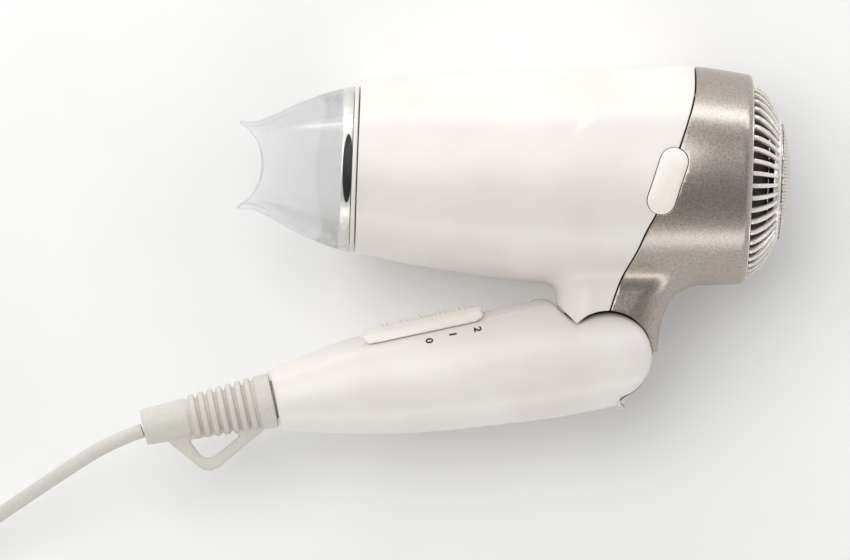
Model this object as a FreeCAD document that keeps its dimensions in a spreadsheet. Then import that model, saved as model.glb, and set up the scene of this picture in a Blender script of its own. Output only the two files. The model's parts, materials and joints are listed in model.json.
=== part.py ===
import FreeCAD, Part
import math
import os
import Sketcher

# Folding travel hair dryer, lying on its side with the handle folded against the barrel.
# Row frame: +X runs along the air duct from the nozzle to the intake, +Y points from the
# handle to the barrel, +Z is up from the surface that the dryer lies on.
# Three working frames are placed in it:
#   duct   X is the air axis, with its zero at the barrel's mouth; Z zero is the plane of symmetry
#   fan    the same, raised to the axis of the motor and the intake
#   grip   X runs along the handle towards the hinge pin, which is the origin
# The cord and its plug are drawn in the row frame itself.

V = FreeCAD.Vector
doc = FreeCAD.newDocument("folding_travel_dryer")
sheet = doc.addObject("Spreadsheet::Sheet", "sizes")

# Driving dimensions, in millimetres, degrees or counts.
SIZES = [
    ("origin_x", -41.0, "duct frame in the row frame"),
    ("origin_y", 33.9, "duct frame in the row frame"),
    ("lay_height", 38.14, "height of the plane of symmetry above the surface"),
    ("fan_rise", 1.2, "motor axis above the air axis"),
    ("pivot_x", 91.7, "hinge pin, along the duct"),
    ("pivot_y", -61.9, "hinge pin, below the air axis"),
    ("fold_angle", 14.1, "handle against the barrel when folded"),
    ("wall", 2.0, "barrel wall"),
    ("neck_wall", 2.6, "neck wall"),
    ("neck_corner", 12.0, "corner radius of the neck"),
    ("seam_gap", 0.3, "gap between the front and rear shells"),
    ("head_radius", 15.3, "round head of the handle"),
    ("socket_radius", 15.8, "hollow of the neck round the head"),
    ("head_half", 16.4, "half thickness of the head"),
    ("knuckle_radius", 15.5, "fixed knuckle between the two cheeks"),
    ("knuckle_half", 6.8, "half thickness of the knuckle"),
    ("slot_half", 7.1, "half width of the slot for the knuckle"),
    ("slot_radius", 16.0, "reach of the slot for the knuckle"),
    ("pin_radius", 3.0, "hinge pin"),
    ("pin_half", 13.4, "half length of the hinge pin"),
    ("grip_wall", 2.2, "handle wall"),
    ("slider_start", -82.1, "cord end of the slider cap"),
    ("slider_length", 42.5, "length of the slider cap"),
    ("slider_travel", 16.0, "off to the second speed"),
    ("seat_rise", 24.0, "floor of the slider's seat above the pin"),
    ("relief_rise", 9.1, "cord axis above the pin"),
    ("loop_half", 2.6, "half thickness of the hang loop"),
    ("button_radius", 4.8, "end radius of the side button"),
    ("button_proud", 0.9, "side button above the shell"),
    ("vane_count", 48, "radial vanes of the intake"),
    ("vane_thick", 1.9, "thickness of a vane"),
    ("rim_radius", 33.9, "outer radius of the intake grille"),
    ("blade_count", 7, "fan blades"),
    ("duct_radius", 30.0, "outer radius of the motor duct"),
    ("can_radius", 12.3, "motor can"),
    ("shaft_radius", 1.15, "motor shaft"),
    ("mica_radius", 27.2, "outer radius of the mica tube"),
    ("coil_turns", 11, "turns of the heating coil"),
    ("nozzle_wall", 1.4, "wall of the clear nozzle"),
    ("lip_radius", 19.1, "hollow lip of the nozzle"),
    ("cord_radius", 2.5, "supply cord"),
    ("stored_middle", 27.5, "stored coil, radius at the middle of its turns"),
    ("stored_half", 7.5, "stored coil, half of its width"),
    ("stored_height", 14.6, "stored coil, height"),
    ("prong_radius", 2.4, "plug pin"),
    ("prong_length", 19.0, "plug pin"),
    ("prong_pitch", 19.0, "spacing of the plug pins"),
]

# Barrel sections: place along the duct, radius, and centre above the air axis.
BARREL = [
    ("mouth", 2.2, 30.4, 1.3),
    ("throat", 14.0, 32.2, 0.8),
    ("heater", 32.0, 34.2, 0.3),
    ("middle", 70.0, 37.5, 0.0),
    ("shoulder", 100.0, 38.1, 1.0),
    ("seam", 119.0, 38.0, 1.6),
    ("rim", 138.4, 36.2, 1.2),
]

# Neck sections: depth below the air axis, front and rear faces, half width.
NECK = [
    ("root", 31.0, 71.4, 123.0, 17.6),
    ("flare", 37.0, 72.4, 117.4, 17.0),
    ("bend", 41.0, 73.2, 113.4, 16.8),
    ("shaft", 47.0, 72.9, 110.8, 16.6),
    ("tip", 63.0, 73.4, 108.9, 16.0),
]

# Handle sections: place along the handle, centre above the pin, half height, half width.
GRIP = [
    ("end", -116.7, 8.8, 10.9, 10.5),
    ("heel", -105.0, 8.4, 13.5, 12.2),
    ("rear", -88.0, 7.6, 16.9, 14.2),
    ("palm", -66.0, 5.9, 19.1, 15.6),
    ("front", -44.0, 4.7, 20.2, 16.4),
    ("nub", -20.0, 3.5, 21.0, 16.6),
    ("head", 1.4, 1.6, 19.4, 16.4),
]

# Nozzle sections: place along the duct, half height, half width.
NOZZLE = [
    ("base", 0.2, 29.0, 29.0),
    ("skirt", -8.0, 27.0, 26.2),
    ("cone", -14.5, 24.6, 22.8),
    ("taper", -21.0, 21.8, 19.2),
    ("waist", -28.5, 17.9, 15.0),
    ("flute", -34.5, 15.6, 12.0),
    ("outlet", -39.4, 15.6, 10.4),
]

# The cord's route in the row frame, from the strain relief down to the stored coil.
CORD_ROUTE = [
    (-110.8, -60.2, 38.1),
    (-121.9, -64.7, 37.4),
    (-135.3, -73.7, 33.6),
    (-150.8, -84.9, 26.2),
    (-166.8, -96.7, 17.0),
    (-183.3, -109.3, 8.8),
    (-200.3, -122.3, 3.6),
    (-216.8, -134.9, 2.6),
]
STORED_CENTRE = (-237.0, -109.2)
# From the stored coil to the plug.
TAIL_ROUTE = [
    (-269.5, -109.2, 2.5),
    (-269.5, -94.0, 3.4),
    (-266.6, -80.0, 6.8),
    (-262.4, -67.0, 10.8),
    (-260.0, -54.0, 12.6),
]
PLUG_FACE = (-260.0, -14.0, 12.6)


def table(rows, names):
    """Lists a table of sections as sheet rows, one alias for each number."""
    listed = []
    for row in rows:
        for name, value in zip(names, row[1:]):
            listed.append((row[0] + "_" + name, value, name + " of the " + row[0] + " section"))
    return listed


SIZES += [("barrel_" + a, b, c) for a, b, c in table(BARREL, ("place", "radius", "lift"))]
SIZES += [("neck_" + a, b, c) for a, b, c in table(NECK, ("depth", "fore", "aft", "half"))]
SIZES += [("grip_" + a, b, c) for a, b, c in table(GRIP, ("place", "lift", "high", "wide"))]
SIZES += [("nozzle_" + a, b, c) for a, b, c in table(NOZZLE, ("place", "high", "wide"))]
for line, (alias, value, note) in enumerate(SIZES, start=1):
    sheet.set("A%d" % line, alias)
    sheet.set("B%d" % line, str(value))
    sheet.set("C%d" % line, note)
    sheet.setAlias("B%d" % line, alias)
doc.recompute()

PLACES = {
    "duct": ("sizes.origin_x", "sizes.origin_y"),
    "fan": ("sizes.origin_x", "sizes.origin_y + sizes.fan_rise"),
    "grip": ("sizes.origin_x + sizes.pivot_x", "sizes.origin_y + sizes.pivot_y"),
}
subparts = []
cuts = []


def size(alias):
    return float(sheet.get(alias))


def bind(thing, name, value):
    """Sets a property to a plain value, or to an expression on the sheet."""
    if isinstance(value, str) and "sizes." in value:
        thing.setExpression(name, value)
    else:
        setattr(thing, name, value)


def place(part, frame):
    """Puts a sub-part into one of the working frames and lists it."""
    subparts.append(part)
    if frame == "row":
        return
    if frame == "grip":
        part.Placement = FreeCAD.Placement(V(), FreeCAD.Rotation(V(0, 0, 1), size("fold_angle")))
        part.setExpression("Placement.Rotation.Angle", "sizes.fold_angle")
    along, across = PLACES[frame]
    part.setExpression("Placement.Base.x", along)
    part.setExpression("Placement.Base.y", across)
    part.setExpression("Placement.Base.z", "sizes.lay_height")


def new_body(label, frame):
    body = doc.addObject("PartDesign::Body", label)
    body.Label = label
    body.AllowCompound = True
    place(body, frame)
    return body


def origin_item(body, role):
    return next(item for item in body.Origin.OriginFeatures if item.Role == role)


def sketch_on(body, role, offset=0.0, rise=0.0):
    """A sketch on one of the body's own planes, moved along its normal and up the plane."""
    sketch = body.newObject("Sketcher::SketchObject", body.Label + "_sketch")
    sketch.AttachmentSupport = (origin_item(body, role), "")
    sketch.MapMode = "FlatFace"
    sketch.AttachmentOffset = FreeCAD.Placement(V(), FreeCAD.Rotation())
    for axis, value in (("z", offset), ("y", rise)):
        sketch.setExpression("AttachmentOffset.Base." + axis, str(value))
    return sketch


def circle(sketch, middle, radius):
    """A circle whose radius is a number or an expression."""
    start = radius if not isinstance(radius, str) else 1.0
    index = sketch.addGeometry(Part.Circle(V(middle[0], middle[1], 0), V(0, 0, 1), start))
    for kind, value in (("DistanceX", middle[0]), ("DistanceY", middle[1])):
        sketch.addConstraint(Sketcher.Constraint(kind, -1, 1, index, 3, value))
    rule = sketch.addConstraint(Sketcher.Constraint("Radius", index, start))
    if isinstance(radius, str):
        sketch.setExpression("Constraints[%d]" % rule, radius)


def ellipse(sketch, middle, half_x, half_y):
    """An ellipse with its longer axis along the sketch's x."""
    ends = (V(middle + half_x, 0, 0), V(middle, half_y, 0), V(middle, 0, 0))
    if half_x - half_y > 1e-6:
        sketch.addGeometry(Part.Ellipse(*ends))
    else:
        sketch.addGeometry(Part.Circle(ends[2], V(0, 0, 1), half_x))


def outline(sketch, points):
    """A closed outline of straight lines."""
    for start, end in zip(points, points[1:] + points[:1]):
        sketch.addGeometry(Part.LineSegment(V(*start, 0), V(*end, 0)))


def rectangle(sketch, low, high):
    outline(sketch, [low, (high[0], low[1]), high, (low[0], high[1])])


def rounded(sketch, low, high, corner):
    """A rectangle with round corners."""
    for side in range(4):
        turn = math.pi / 2 * side
        x = high[0] - corner if side in (0, 3) else low[0] + corner
        y = high[1] - corner if side in (0, 1) else low[1] + corner
        arc = Part.ArcOfCircle(Part.Circle(V(x, y, 0), V(0, 0, 1), corner), turn, turn + math.pi / 2)
        sketch.addGeometry(arc)
    inner_low = (low[0] + corner, low[1] + corner)
    inner_high = (high[0] - corner, high[1] - corner)
    sides = [
        (V(inner_high[0], high[1], 0), V(inner_low[0], high[1], 0)),
        (V(low[0], inner_high[1], 0), V(low[0], inner_low[1], 0)),
        (V(inner_low[0], low[1], 0), V(inner_high[0], low[1], 0)),
        (V(high[0], inner_low[1], 0), V(high[0], inner_high[1], 0)),
    ]
    for start, end in sides:
        sketch.addGeometry(Part.LineSegment(start, end))


def stadium(sketch, first, last, radius):
    """A slot outline with round ends about two centres."""
    run = V(last[0] - first[0], last[1] - first[1], 0)
    angle = math.atan2(run.y, run.x)
    side = V(-run.y, run.x, 0).normalize() * radius
    a = V(*first, 0)
    b = V(*last, 0)
    sketch.addGeometry(Part.LineSegment(a + side, b + side))
    sketch.addGeometry(Part.LineSegment(a - side, b - side))
    for middle, start in ((b, angle - math.pi / 2), (a, angle + math.pi / 2)):
        round_end = Part.Circle(middle, V(0, 0, 1), radius)
        sketch.addGeometry(Part.ArcOfCircle(round_end, start, start + math.pi))


def feature(body, kind, profile, **settings):
    """Adds a PartDesign feature, and remembers it if it must remove material."""
    before = body.Tip
    made = body.newObject("PartDesign::" + kind, body.Label + "_" + kind.lower())
    made.Profile = profile
    for name, value in settings.items():
        bind(made, name, value)
    body.Tip = made
    if kind in ("Pocket", "Groove", "SubtractiveLoft", "Hole"):
        cuts.append((before, made))
    return made


def pad(body, profile, length, side="Symmetric", back=False):
    return feature(body, "Pad", profile, SideType=side, Length=length, Reversed=back)


def pocket(body, profile, length, side="Symmetric", back=False):
    return feature(body, "Pocket", profile, SideType=side, Length=length, Reversed=back)


def revolve(body, profile, kind="Revolution"):
    return feature(body, kind, profile, ReferenceAxis=(profile, ["H_Axis"]), Angle=360.0)


def ring(body, start, end, inner, outer):
    """A tube or disc about the body's X axis."""
    sketch = sketch_on(body, "XY_Plane")
    rectangle(sketch, (start, inner), (end, outer))
    return revolve(body, sketch)


def polar(body, made, count):
    """Repeats a feature about the body's X axis."""
    pattern = body.newObject("PartDesign::PolarPattern", body.Label + "_pattern")
    pattern.Originals = [made]
    pattern.Axis = (origin_item(body, "X_Axis"), [""])
    pattern.Angle = 360.0
    bind(pattern, "Occurrences", count)
    body.Tip = pattern
    return pattern


def loft(body, sketches, kind="AdditiveLoft"):
    made = feature(body, kind, sketches[0])
    made.Sections = sketches[1:]
    return made


def prism(body, low, high, deep, z_middle=0.0):
    """A rectangular block, given in the frame's X and Y and its full depth in Z."""
    sketch = sketch_on(body, "XY_Plane", z_middle)
    rectangle(sketch, low, high)
    return pad(body, sketch, deep)


def box_body(label, frame, low, high, deep, z_middle=0.0):
    body = new_body(label, frame)
    prism(body, low, high, deep, z_middle)
    return body


def solid_part(label, frame, shape):
    """A sub-part whose shape is swept or gathered by this script."""
    part = doc.addObject("Part::Feature", label)
    part.Label = label
    part.Shape = shape
    place(part, frame)
    return part


# ---------------------------------------------------------------- barrel shells

SEAM = [(118.4, 42.0), (118.2, 30.0), (116.2, 21.0), (114.0, 13.4), (110.2, 0.6), (106.2, -12.1),
        (103.4, -17.6), (100.6, -24.5), (95.2, -35.3), (91.7, -46.4), (88.4, -58.0)]


def barrel_sections(body, inset):
    """Round sections of the barrel, drawn inset by a wall."""
    sections = []
    for name, _place, _radius, lift in BARREL:
        sketch = sketch_on(body, "YZ_Plane", "sizes.barrel_" + name + "_place")
        circle(sketch, (lift, 0.0), "sizes.barrel_%s_radius - %s" % (name, inset))
        sections.append(sketch)
    return sections


def neck_sections(body, inset):
    """Round-cornered sections of the neck, drawn inset by a wall."""
    sections = []
    for name, _depth, fore, aft, half in NECK:
        sketch = sketch_on(body, "XZ_Plane", "sizes.neck_" + name + "_depth")
        low = (fore + inset, -half + inset)
        high = (aft - inset, half - inset)
        rounded(sketch, low, high, size("neck_corner") - inset)
        sections.append(sketch)
    return sections


def seam_cut(body, keep_front):
    """Removes everything on the other side of the curved seam."""
    shift = size("seam_gap") / 2 * (-1 if keep_front else 1)
    far = 200.0 if keep_front else -60.0
    points = [V(x + shift, y, 0) for x, y in SEAM]
    curve = Part.BSplineCurve()
    curve.interpolate(points)
    sketch = sketch_on(body, "XY_Plane")
    sketch.addGeometry(curve)
    for start, end in (
        (points[0], V(far, points[0].y, 0)),
        (V(far, points[0].y, 0), V(far, -80, 0)),
        (V(far, -80, 0), V(points[-1].x, -80, 0)),
        (V(points[-1].x, -80, 0), points[-1]),
    ):
        sketch.addGeometry(Part.LineSegment(start, end))
    pocket(body, sketch, 120.0)


BUTTON_ENDS = ((111.6, 6.3), (107.7, -7.3))
SCREW_RING = 33.4
SCREW_ANGLES = (32.0, -32.0)


def barrel_shell(label, keep_front):
    body = new_body(label, "duct")
    loft(body, barrel_sections(body, "0"))
    loft(body, neck_sections(body, 0.0))
    loft(body, neck_sections(body, size("neck_wall")), "SubtractiveLoft")
    loft(body, barrel_sections(body, "sizes.wall"), "SubtractiveLoft")
    socket = sketch_on(body, "XY_Plane")
    circle(socket, (size("pivot_x"), size("pivot_y")), "sizes.socket_radius")
    pocket(body, socket, 60.0)
    stop = sketch_on(body, "XY_Plane")
    px, py = size("pivot_x"), size("pivot_y")
    outline(stop, [(px - 60, py - 20), (px - 8.0, py - 20), (px - 8.0, py + 8.0),
                   (px - 11.5, py + 11.0), (px - 24.0, py + 22.4), (px - 60, py + 22.4)])
    outline(stop, [(px + 8, py - 20), (px + 60, py - 20), (px + 60, py + 7.4), (px + 8, py + 1.0)])
    pocket(body, stop, 60.0)
    seam_cut(body, keep_front)
    for angle in SCREW_ANGLES:
        across = 1.0 + SCREW_RING * math.cos(math.radians(angle))
        deep = SCREW_RING * math.sin(math.radians(angle))
        start, end = (96.0, 107.0) if keep_front else (118.6, 124.0)
        boss = sketch_on(body, "YZ_Plane", start)
        circle(boss, (across, deep), 3.0)
        pad(body, boss, end - start, "One side")
        bore = sketch_on(body, "YZ_Plane", end + 1)
        circle(bore, (across, deep), 1.2 if keep_front else 1.6)
        pocket(body, bore, end - start + (0 if keep_front else 2), "One side")
    opening = sketch_on(body, "XY_Plane", 20.0)
    stadium(opening, *BUTTON_ENDS, size("button_radius") + 0.3)
    pocket(body, opening, 40.0, "One side", True)
    return body


barrel_shell("front_shell", True)
barrel_shell("rear_shell", False)

# ---------------------------------------------------------------- screws of the barrel


def screws(label, frame, plane, places, under_head, reach, radius, head, flip=False):
    """Pan-head screws: shanks from under the head for their reach, then the heads."""
    body = new_body(label, frame)
    shanks = sketch_on(body, plane, under_head)
    heads = sketch_on(body, plane, under_head)
    for spot in places:
        circle(shanks, spot, radius)
        circle(heads, spot, head)
    pad(body, shanks, reach, "One side", not flip)
    pad(body, heads, 1.6, "One side", flip)
    return body


barrel_spots = [(1.0 + SCREW_RING * math.cos(math.radians(a)), SCREW_RING * math.sin(math.radians(a)))
                for a in SCREW_ANGLES]
screws("barrel_screws", "duct", "YZ_Plane", barrel_spots, 124.05, 26.0, 1.15, 2.6)

# ---------------------------------------------------------------- side button


def side_button():
    body = new_body("side_button", "duct")
    cap = sketch_on(body, "XY_Plane", 32.7)
    stadium(cap, *BUTTON_ENDS, size("button_radius"))
    pad(body, cap, 6.8, "One side")
    trim = sketch_on(body, "YZ_Plane", 100.0)
    circle(trim, (1.4, 0.0), "38.0 + sizes.button_proud")
    rectangle(trim, (-60.0, -60.0), (60.0, 60.0))
    pocket(body, trim, 30.0, "One side", True)
    flange = sketch_on(body, "XY_Plane", 32.0)
    stadium(flange, *BUTTON_ENDS, size("button_radius") + 0.8)
    pad(body, flange, 0.7, "One side")


side_button()
button_middle = ((BUTTON_ENDS[0][0] + BUTTON_ENDS[1][0]) / 2, (BUTTON_ENDS[0][1] + BUTTON_ENDS[1][1]) / 2)
spring = new_body("button_spring", "duct")
spring_turns = sketch_on(spring, "XY_Plane", 30.95)
circle(spring_turns, button_middle, 2.6)
circle(spring_turns, button_middle, 2.1)
pad(spring, spring_turns, 1.0, "One side")
box_body("button_switch", "duct", (button_middle[0] - 3, button_middle[1] - 3),
         (button_middle[0] + 3, button_middle[1] + 3), 0.7, 30.55)

# ---------------------------------------------------------------- intake


def intake_grille():
    """A rim, a hub ring and the radial vanes that bridge them over a dome."""
    body = new_body("intake_grille", "fan")
    ring(body, 134.0, 139.4, 31.4, size("rim_radius"))
    vane = sketch_on(body, "XY_Plane")
    outer = Part.Arc(V(139.4, 33.9, 0), V(144.7, 29.5, 0), V(149.0, 21.2, 0))
    inner = Part.Arc(V(138.0, 31.5, 0), V(142.4, 27.8, 0), V(146.2, 21.2, 0))
    vane.addGeometry(outer)
    vane.addGeometry(inner)
    vane.addGeometry(Part.LineSegment(V(149.0, 21.2, 0), V(146.2, 21.2, 0)))
    vane.addGeometry(Part.LineSegment(V(139.4, 33.9, 0), V(138.0, 31.5, 0)))
    first = pad(body, vane, "sizes.vane_thick")
    polar(body, first, "sizes.vane_count")
    ring(body, 146.3, 148.4, 20.6, 23.4)
    return body


def dome_arc(apex, rim, reach):
    """An arc centred on the X axis, from the apex out to a rim, and its ends."""
    rise = apex - rim
    radius = (reach ** 2 + rise ** 2) / (2 * rise)
    ball = Part.Circle(V(apex - radius, 0, 0), V(0, 0, 1), radius)
    return Part.ArcOfCircle(ball, 0.0, math.asin(reach / radius)), V(apex, 0, 0), V(rim, reach, 0)


def filter_cap():
    """A thin domed disc that closes the middle of the intake."""
    body = new_body("filter_cap", "fan")
    sketch = sketch_on(body, "XY_Plane")
    outer, outer_apex, outer_rim = dome_arc(153.0, 149.3, 20.5)
    inner, inner_apex, inner_rim = dome_arc(151.8, 147.0, 20.5)
    sketch.addGeometry(outer)
    sketch.addGeometry(inner)
    sketch.addGeometry(Part.LineSegment(outer_rim, inner_rim))
    sketch.addGeometry(Part.LineSegment(inner_apex, outer_apex))
    revolve(body, sketch)


intake_grille()
filter_cap()

# ---------------------------------------------------------------- motor and fan


def motor_duct():
    """Tube round the fan, with a hub for the motor on seven fixed vanes."""
    body = new_body("motor_duct", "fan")
    ring(body, 86.0, 133.0, 28.5, size("duct_radius"))
    ring(body, 131.0, 133.0, 29.5, 33.4)
    ring(body, 92.0, 116.0, 12.4, 13.6)
    vane = sketch_on(body, "XY_Plane")
    rectangle(vane, (97.0, 13.4), (112.0, 28.7))
    polar(body, pad(body, vane, 1.2), 7)


def fan_impeller():
    body = new_body("fan_impeller", "fan")
    ring(body, 119.5, 129.5, size("shaft_radius"), 9.0)
    blade = []
    for reach, half_chord, pitch in ((8.4, 5.4, 42.0), (27.4, 6.2, 66.0)):
        section = sketch_on(body, "XY_Plane", reach)
        turn = math.radians(pitch)
        along = V(math.cos(turn), math.sin(turn), 0) * half_chord
        across = V(-math.sin(turn), math.cos(turn), 0) * 0.6
        middle = V(124.5, 0, 0)
        corners = [middle + along + across, middle - along + across,
                   middle - along - across, middle + along - across]
        outline(section, [(corner.x, corner.y) for corner in corners])
        blade.append(section)
    polar(body, loft(body, blade), "sizes.blade_count")


motor_duct()
fan_impeller()
shaft = new_body("motor_shaft", "fan")
shaft_section = sketch_on(shaft, "YZ_Plane", 89.5)
circle(shaft_section, (0.0, 0.0), "sizes.shaft_radius")
pad(shaft, shaft_section, 41.0, "One side")

can = new_body("motor_can", "fan")
ring(can, 94.0, 115.5, 1.25, size("can_radius"))
ring(can, 115.5, 117.5, 1.25, 4.0)
bell = new_body("motor_end_bell", "fan")
ring(bell, 91.0, 93.9, 1.25, size("can_radius"))
board = new_body("rectifier_board", "fan")
ring(board, 89.0, 90.6, 2.0, 11.5)
diodes = new_body("diodes", "fan")
diode_row = sketch_on(diodes, "YZ_Plane", 86.4)
for quarter in range(4):
    turn = math.radians(45 + 90 * quarter)
    circle(diode_row, (7.5 * math.cos(turn), 7.5 * math.sin(turn)), 1.4)
pad(diodes, diode_row, 2.6, "One side")

# ---------------------------------------------------------------- heater and outlet

tube = new_body("mica_tube", "duct")
ring(tube, 8.0, 84.0, size("mica_radius") - 0.5, size("mica_radius"))
cross = new_body("mica_cross", "duct")
for plane in ("XY_Plane", "XZ_Plane"):
    for lobe, reach in ((30.0, 76.0), (12.0, 30.0)):
        card = sketch_on(cross, plane)
        half = 18.6 if lobe == 30.0 else 26.4
        rectangle(card, (lobe, -half), (reach, half))
        pad(cross, card, 0.8)


def heating_coil():
    """A coil of flat resistance wire wound round the mica cross."""
    body = new_body("heating_coil", "duct")
    wire = sketch_on(body, "XY_Plane")
    rectangle(wire, (32.4, 19.3), (33.6, 19.9))
    turn = feature(body, "AdditiveHelix", wire)
    turn.ReferenceAxis = (wire, ["H_Axis"])
    turn.Mode = "pitch-turns-angle"
    turn.Pitch = 3.7
    bind(turn, "Turns", "sizes.coil_turns")


heating_coil()
box_body("thermostat", "duct", (14.0, 3.0), (26.0, 12.0), 4.0, 4.4)
fuse = new_body("thermal_fuse", "duct")
fuse_section = sketch_on(fuse, "YZ_Plane", 14.0)
circle(fuse_section, (-8.0, 4.0), 1.6)
pad(fuse, fuse_section, 11.0, "One side")

collar = new_body("outlet_collar", "duct")
ring(collar, -3.0, 7.5, 24.4, 25.8)
ring(collar, 4.0, 5.5, 25.6, 27.0)
guard = new_body("outlet_guard", "duct")
for radius in (23.2, 16.4, 9.6, 3.4):
    ring(guard, -2.0, 0.6, radius, radius + 1.2)
spoke = sketch_on(guard, "XY_Plane")
rectangle(spoke, (-1.8, 3.8), (0.4, 23.6))
polar(guard, pad(guard, spoke, 1.2), 6)

# ---------------------------------------------------------------- clear nozzle


def nozzle_sections(body, inset):
    sections = []
    for name, _place, high, wide in NOZZLE:
        sketch = sketch_on(body, "YZ_Plane", "sizes.nozzle_" + name + "_place")
        ellipse(sketch, 0.0, high - inset, wide - inset)
        sections.append(sketch)
    return sections


def nozzle():
    """Tapers from the round base to a narrow outlet with hollow lips."""
    body = new_body("nozzle", "duct")
    loft(body, nozzle_sections(body, 0.0))
    loft(body, nozzle_sections(body, size("nozzle_wall")), "SubtractiveLoft")
    ring(body, 0.1, 1.9, 26.1, 29.0)
    lip = sketch_on(body, "XY_Plane")
    circle(lip, (-31.6 - size("lip_radius"), 0.0), "sizes.lip_radius")
    pocket(body, lip, 80.0)


nozzle()

# ---------------------------------------------------------------- hinge


def hinge_knuckle():
    """Round knuckle on a stem that the two shells clamp inside the neck."""
    body = new_body("hinge_knuckle", "duct")
    middle = (size("pivot_x"), size("pivot_y"))
    stem = sketch_on(body, "XY_Plane")
    rectangle(stem, (middle[0] - 9.0, middle[1] + 8.0), (middle[0] + 9.0, middle[1] + 22.0))
    pad(body, stem, "2 * sizes.knuckle_half")
    eye = sketch_on(body, "XY_Plane")
    circle(eye, middle, "sizes.knuckle_radius")
    pad(body, eye, "2 * sizes.knuckle_half")
    bore = sketch_on(body, "XY_Plane")
    circle(bore, middle, "sizes.pin_radius + 0.05")
    pocket(body, bore, 60.0)
    way = sketch_on(body, "XZ_Plane", -(middle[1] + 22.5))
    circle(way, (middle[0], 0.0), 3.6)
    pocket(body, way, 14.0, "One side", True)


hinge_knuckle()
pin = new_body("hinge_pin", "grip")
pin_section = sketch_on(pin, "XY_Plane")
circle(pin_section, (0.0, 0.0), "sizes.pin_radius")
pad(pin, pin_section, "2 * sizes.pin_half")
washer = new_body("hinge_washer", "grip")
washer_section = sketch_on(washer, "XY_Plane", 6.83)
circle(washer_section, (0.0, 0.0), 7.5)
circle(washer_section, (0.0, 0.0), 3.1)
pad(washer, washer_section, 0.22, "One side")

# ---------------------------------------------------------------- handle shells

# Screw bosses of the handle: place along it, rise above the pin, and reach towards each wall.
GRIP_BOSSES = ((-93.0, 1.0, 9.6), (-29.0, 8.0, 15.0))


def grip_sections(body, inset, hollow):
    sections = []
    for name, place_x, lift, high, wide in GRIP:
        if hollow and name == "end":
            place_x += 3.0
        if hollow and name == "nub":
            lift, high = lift - 0.8, high - 1.0
        if hollow and name == "head":
            place_x, lift, high, wide = -15.2, 1.0, 16.6, 16.0
        sketch = sketch_on(body, "YZ_Plane", place_x)
        ellipse(sketch, lift, high - inset, wide - inset)
        sections.append(sketch)
    return sections


def handle_half(label, near):
    """One half of the handle, split on the plane of symmetry, with its cheek of the hinge."""
    body = new_body(label, "grip")
    loft(body, grip_sections(body, 0.0, False))
    cheek = sketch_on(body, "XY_Plane")
    circle(cheek, (0.0, 0.0), "sizes.head_radius")
    pad(body, cheek, "2 * sizes.head_half")
    notch = sketch_on(body, "XY_Plane")
    reach = size("head_radius")
    notch_turn = math.radians(122.6)
    corner = V(reach * math.cos(notch_turn), reach * math.sin(notch_turn), 0)
    rim = Part.Circle(V(), V(0, 0, 1), reach)
    notch.addGeometry(Part.ArcOfCircle(rim, 0.0, notch_turn))
    edge = [corner, V(-20.2, 29.6, 0), V(30, 29.6, 0), V(30, 0, 0), V(reach, 0, 0)]
    for start, end in zip(edge, edge[1:]):
        notch.addGeometry(Part.LineSegment(start, end))
    pocket(body, notch, 60.0)
    loft(body, grip_sections(body, size("grip_wall"), True), "SubtractiveLoft")
    for x, y, wall_z in GRIP_BOSSES:
        boss = sketch_on(body, "XY_Plane")
        circle(boss, (x, y), 3.2)
        pad(body, boss, 2 * wall_z)
    split = sketch_on(body, "XY_Plane")
    rectangle(split, (-140.0, -40.0), (40.0, 40.0))
    pocket(body, split, 40.0, "One side", not near)
    slot = sketch_on(body, "XY_Plane")
    circle(slot, (0.0, 0.0), "sizes.slot_radius")
    pocket(body, slot, "2 * sizes.slot_half")
    bore = sketch_on(body, "XY_Plane")
    circle(bore, (0.0, 0.0), "sizes.pin_radius + 0.02")
    pocket(body, bore, "2 * sizes.pin_half + 0.2")
    for x, y, wall_z in GRIP_BOSSES:
        hole = sketch_on(body, "XY_Plane")
        circle(hole, (x, y), 1.2 if near else 1.6)
        pocket(body, hole, 2 * wall_z - 3.0 if near else 60.0)
        if not near:
            counterbore = sketch_on(body, "XY_Plane", -4.0)
            circle(counterbore, (x, y), 2.9)
            pocket(body, counterbore, 20.0, "One side")
    seat = sketch_on(body, "YZ_Plane", -83.4)
    floor = size("seat_rise")
    outline(seat, [(20.9, -20.0), (20.9, -8.7), (floor, -8.7), (floor, 8.7), (20.9, 8.7),
                   (20.9, 20.0), (34.0, 20.0), (34.0, -20.0)])
    pocket(body, seat, 61.2, "One side", True)
    way = sketch_on(body, "XY_Plane")
    rectangle(way, (-64.0, 17.0), (-42.0, 30.0))
    pocket(body, way, 5.2)
    exit_hole = sketch_on(body, "YZ_Plane", -120.0)
    circle(exit_hole, (size("relief_rise"), 0.0), 6.7)
    pocket(body, exit_hole, 8.0, "One side", True)
    return body


handle_half("handle_shell_near", True)
handle_half("handle_shell_far", False)
screws("handle_screws", "grip", "XY_Plane", [(x, y) for x, y, _ in GRIP_BOSSES], -4.05, 9.0, 1.15, 2.5, True)

# ---------------------------------------------------------------- switch


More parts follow.
